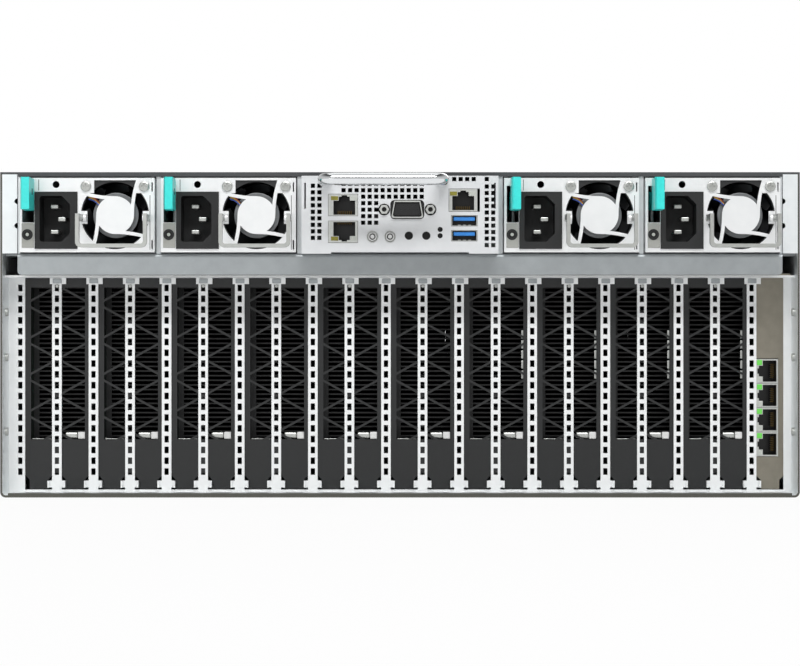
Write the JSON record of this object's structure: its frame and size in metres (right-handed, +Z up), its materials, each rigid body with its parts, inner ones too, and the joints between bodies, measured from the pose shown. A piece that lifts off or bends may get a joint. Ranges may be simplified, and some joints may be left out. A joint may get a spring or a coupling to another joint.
{
  "type": "rack server",
  "caption": "Four-unit rack server with hot-swap power supplies, a port tray and a row of standing accelerator cards behind perforated slot bars.",
  "frame": {"origin": "on the floor below the middle of the whole object", "axes": "+X right and +Z up as seen from behind, +Y from the rear ports to the front face"},
  "size_m": [0.4826, 0.844, 0.1778],
  "materials": {
    "zinc_steel": "satin zinc plate",
    "bright_zinc": "bright zinc plate",
    "cover_paint": "fine textured paint",
    "front_paint": "fine textured paint",
    "ear_paint": "satin paint",
    "screw_steel": "zinc plate",
    "circuit_board": "solder mask",
    "socket_plastic": "moulded",
    "bracket_black": "satin black",
    "shroud_paint": "matte black",
    "dark_fins": "black anodised",
    "card_nickel": "nickel plate",
    "jack_shield": "tin plate",
    "bare_aluminium": "extruded",
    "fan_plastic": "moulded",
    "rotor_plastic": "moulded",
    "chrome_rod": "polished",
    "psu_plate": "bright nickel plate",
    "inlet_plastic": "fine texture",
    "tab_plastic": "moulded teal",
    "handle_steel": "bright zinc plate",
    "button_plastic": "moulded"
  },
  "bodies": {
    "chassis": {"chassis_pan": "zinc_steel", "slot_panel": "bright_zinc", "mid_shelf": "bright_zinc", "bay_dividers": "zinc_steel", "front_panel": "front_paint", "rack_ears": "ear_paint", "chassis_screws": "screw_steel", "switch_board": "circuit_board", "card_sockets": "socket_plastic", "gpu_brackets": "bracket_black", "gpu_shrouds": "shroud_paint", "gpu_heatsinks": "dark_fins", "card_boards": "circuit_board", "lan_card_bracket": "card_nickel", "lan_card_jacks": "jack_shield", "mainboard": "circuit_board", "cpu_heatsinks": "bare_aluminium", "memory_modules": "circuit_board", "power_board": "circuit_board", "fan_frames": "fan_plastic"},
    "cover": {"top_cover": "cover_paint"},
    "fan_1": {"fan_rotor_1": "rotor_plastic"},
    "fan_2": {"fan_rotor_2": "rotor_plastic"},
    "fan_3": {"fan_rotor_3": "rotor_plastic"},
    "tray": {"port_tray": "bright_zinc", "port_tray_handle": "chrome_rod", "port_board": "circuit_board", "lan_jack_stack": "jack_shield", "display_port": "jack_shield", "usb_jack_stack": "jack_shield"},
    "power_key": {"power_button": "button_plastic"},
    "id_key": {"id_button": "button_plastic"},
    "psu_1": {"psu_1_case": "psu_plate", "psu_1_inlet": "inlet_plastic"},
    "psu_1_fan": {"psu_1_rotor": "rotor_plastic"},
    "psu_1_release": {"psu_1_latch": "tab_plastic"},
    "psu_1_bail": {"psu_1_handle": "handle_steel"},
    "psu_2": {"psu_2_case": "psu_plate", "psu_2_inlet": "inlet_plastic"},
    "psu_2_fan": {"psu_2_rotor": "rotor_plastic"},
    "psu_2_release": {"psu_2_latch": "tab_plastic"},
    "psu_2_bail": {"psu_2_handle": "handle_steel"},
    "psu_3": {"psu_3_case": "psu_plate", "psu_3_inlet": "inlet_plastic"},
    "psu_3_fan": {"psu_3_rotor": "rotor_plastic"},
    "psu_3_release": {"psu_3_latch": "tab_plastic"},
    "psu_3_bail": {"psu_3_handle": "handle_steel"},
    "psu_4": {"psu_4_case": "psu_plate", "psu_4_inlet": "inlet_plastic"},
    "psu_4_fan": {"psu_4_rotor": "rotor_plastic"},
    "psu_4_release": {"psu_4_latch": "tab_plastic"},
    "psu_4_bail": {"psu_4_handle": "handle_steel"},
    "drive_1": {"drive_1": "front_paint"},
    "drive_1_lever": {"drive_lever_1": "handle_steel"},
    "drive_2": {"drive_2": "front_paint"},
    "drive_2_lever": {"drive_lever_2": "handle_steel"},
    "drive_3": {"drive_3": "front_paint"},
    "drive_3_lever": {"drive_lever_3": "handle_steel"},
    "drive_4": {"drive_4": "front_paint"},
    "drive_4_lever": {"drive_lever_4": "handle_steel"}
  },
  "joints": [
    {"name": "cover_lift", "type": "slide", "parent": "chassis", "child": "cover", "axis": [0, 0, 1], "range_m": [0, 0.05]},
    {"name": "fan_1_spin", "type": "hinge", "parent": "chassis", "child": "fan_1", "pos_m": [-0.141, 0.3618, 0.0667], "axis": [0, 1, 0], "continuous": true},
    {"name": "fan_2_spin", "type": "hinge", "parent": "chassis", "child": "fan_2", "pos_m": [0, 0.3618, 0.0667], "axis": [0, 1, 0], "continuous": true},
    {"name": "fan_3_spin", "type": "hinge", "parent": "chassis", "child": "fan_3", "pos_m": [0.141, 0.3618, 0.0667], "axis": [0, 1, 0], "continuous": true},
    {"name": "tray_slide", "type": "slide", "parent": "chassis", "child": "tray", "axis": [0, -1, 0], "range_m": [0, 0.15]},
    {"name": "power_button_press", "type": "slide", "parent": "tray", "child": "power_key", "axis": [0, 1, 0], "range_m": [0, 0.001], "stiffness_N_per_m": 600, "springref_m": -0.001},
    {"name": "id_button_press", "type": "slide", "parent": "tray", "child": "id_key", "axis": [0, 1, 0], "range_m": [0, 0.001], "stiffness_N_per_m": 600, "springref_m": -0.001},
    {"name": "psu_1_slide", "type": "slide", "parent": "chassis", "child": "psu_1", "axis": [0, -1, 0], "range_m": [0, 0.19]},
    {"name": "psu_1_fan_spin", "type": "hinge", "parent": "psu_1", "child": "psu_1_fan", "pos_m": [-0.15525, -0.367, 0.15415], "axis": [0, 1, 0], "continuous": true},
    {"name": "psu_1_latch_press", "type": "hinge", "parent": "psu_1", "child": "psu_1_release", "pos_m": [-0.20155, -0.362, 0.1629], "axis": [0, 0, 1], "range_deg": [0, 4], "stiffness_Nm_per_rad": 0.6, "springref_deg": -2.86},
    {"name": "psu_1_handle_swing", "type": "hinge", "parent": "psu_1", "child": "psu_1_bail", "pos_m": [-0.15525, -0.3846, 0.1525], "axis": [-1, 0, 0], "range_deg": [0, 75]},
    {"name": "psu_2_slide", "type": "slide", "parent": "chassis", "child": "psu_2", "axis": [0, -1, 0], "range_m": [0, 0.19]},
    {"name": "psu_2_fan_spin", "type": "hinge", "parent": "psu_2", "child": "psu_2_fan", "pos_m": [-0.07825, -0.367, 0.15415], "axis": [0, 1, 0], "continuous": true},
    {"name": "psu_2_latch_press", "type": "hinge", "parent": "psu_2", "child": "psu_2_release", "pos_m": [-0.12455, -0.362, 0.1629], "axis": [0, 0, 1], "range_deg": [0, 4], "stiffness_Nm_per_rad": 0.6, "springref_deg": -2.86},
    {"name": "psu_2_handle_swing", "type": "hinge", "parent": "psu_2", "child": "psu_2_bail", "pos_m": [-0.07825, -0.3846, 0.1525], "axis": [-1, 0, 0], "range_deg": [0, 75]},
    {"name": "psu_3_slide", "type": "slide", "parent": "chassis", "child": "psu_3", "axis": [0, -1, 0], "range_m": [0, 0.19]},
    {"name": "psu_3_fan_spin", "type": "hinge", "parent": "psu_3", "child": "psu_3_fan", "pos_m": [0.10875, -0.367, 0.15415], "axis": [0, 1, 0], "continuous": true},
    {"name": "psu_3_latch_press", "type": "hinge", "parent": "psu_3", "child": "psu_3_release", "pos_m": [0.06245, -0.362, 0.1629], "axis": [0, 0, 1], "range_deg": [0, 4], "stiffness_Nm_per_rad": 0.6, "springref_deg": -2.86},
    {"name": "psu_3_handle_swing", "type": "hinge", "parent": "psu_3", "child": "psu_3_bail", "pos_m": [0.10875, -0.3846, 0.1525], "axis": [-1, 0, 0], "range_deg": [0, 75]},
    {"name": "psu_4_slide", "type": "slide", "parent": "chassis", "child": "psu_4", "axis": [0, -1, 0], "range_m": [0, 0.19]},
    {"name": "psu_4_fan_spin", "type": "hinge", "parent": "psu_4", "child": "psu_4_fan", "pos_m": [0.18575, -0.367, 0.15415], "axis": [0, 1, 0], "continuous": true},
    {"name": "psu_4_latch_press", "type": "hinge", "parent": "psu_4", "child": "psu_4_release", "pos_m": [0.13945, -0.362, 0.1629], "axis": [0, 0, 1], "range_deg": [0, 4], "stiffness_Nm_per_rad": 0.6, "springref_deg": -2.86},
    {"name": "psu_4_handle_swing", "type": "hinge", "parent": "psu_4", "child": "psu_4_bail", "pos_m": [0.18575, -0.3846, 0.1525], "axis": [-1, 0, 0], "range_deg": [0, 75]},
    {"name": "drive_1_slide", "type": "slide", "parent": "chassis", "child": "drive_1", "axis": [0, 1, 0], "range_m": [0, 0.16]},
    {"name": "drive_1_lever_swing", "type": "hinge", "parent": "drive_1", "child": "drive_1_lever", "pos_m": [-0.2036, 0.3845, 0.1477], "axis": [0, 0, 1], "range_deg": [0, 60]},
    {"name": "drive_2_slide", "type": "slide", "parent": "chassis", "child": "drive_2", "axis": [0, 1, 0], "range_m": [0, 0.16]},
    {"name": "drive_2_lever_swing", "type": "hinge", "parent": "drive_2", "child": "drive_2_lever", "pos_m": [-0.0967, 0.3845, 0.1477], "axis": [0, 0, 1], "range_deg": [0, 60]},
    {"name": "drive_3_slide", "type": "slide", "parent": "chassis", "child": "drive_3", "axis": [0, 1, 0], "range_m": [0, 0.16]},
    {"name": "drive_3_lever_swing", "type": "hinge", "parent": "drive_3", "child": "drive_3_lever", "pos_m": [0.0102, 0.3845, 0.1477], "axis": [0, 0, 1], "range_deg": [0, 60]},
    {"name": "drive_4_slide", "type": "slide", "parent": "chassis", "child": "drive_4", "axis": [0, 1, 0], "range_m": [0, 0.16]},
    {"name": "drive_4_lever_swing", "type": "hinge", "parent": "drive_4", "child": "drive_4_lever", "pos_m": [0.1171, 0.3845, 0.1477], "axis": [0, 0, 1], "range_deg": [0, 60]}
  ]
}
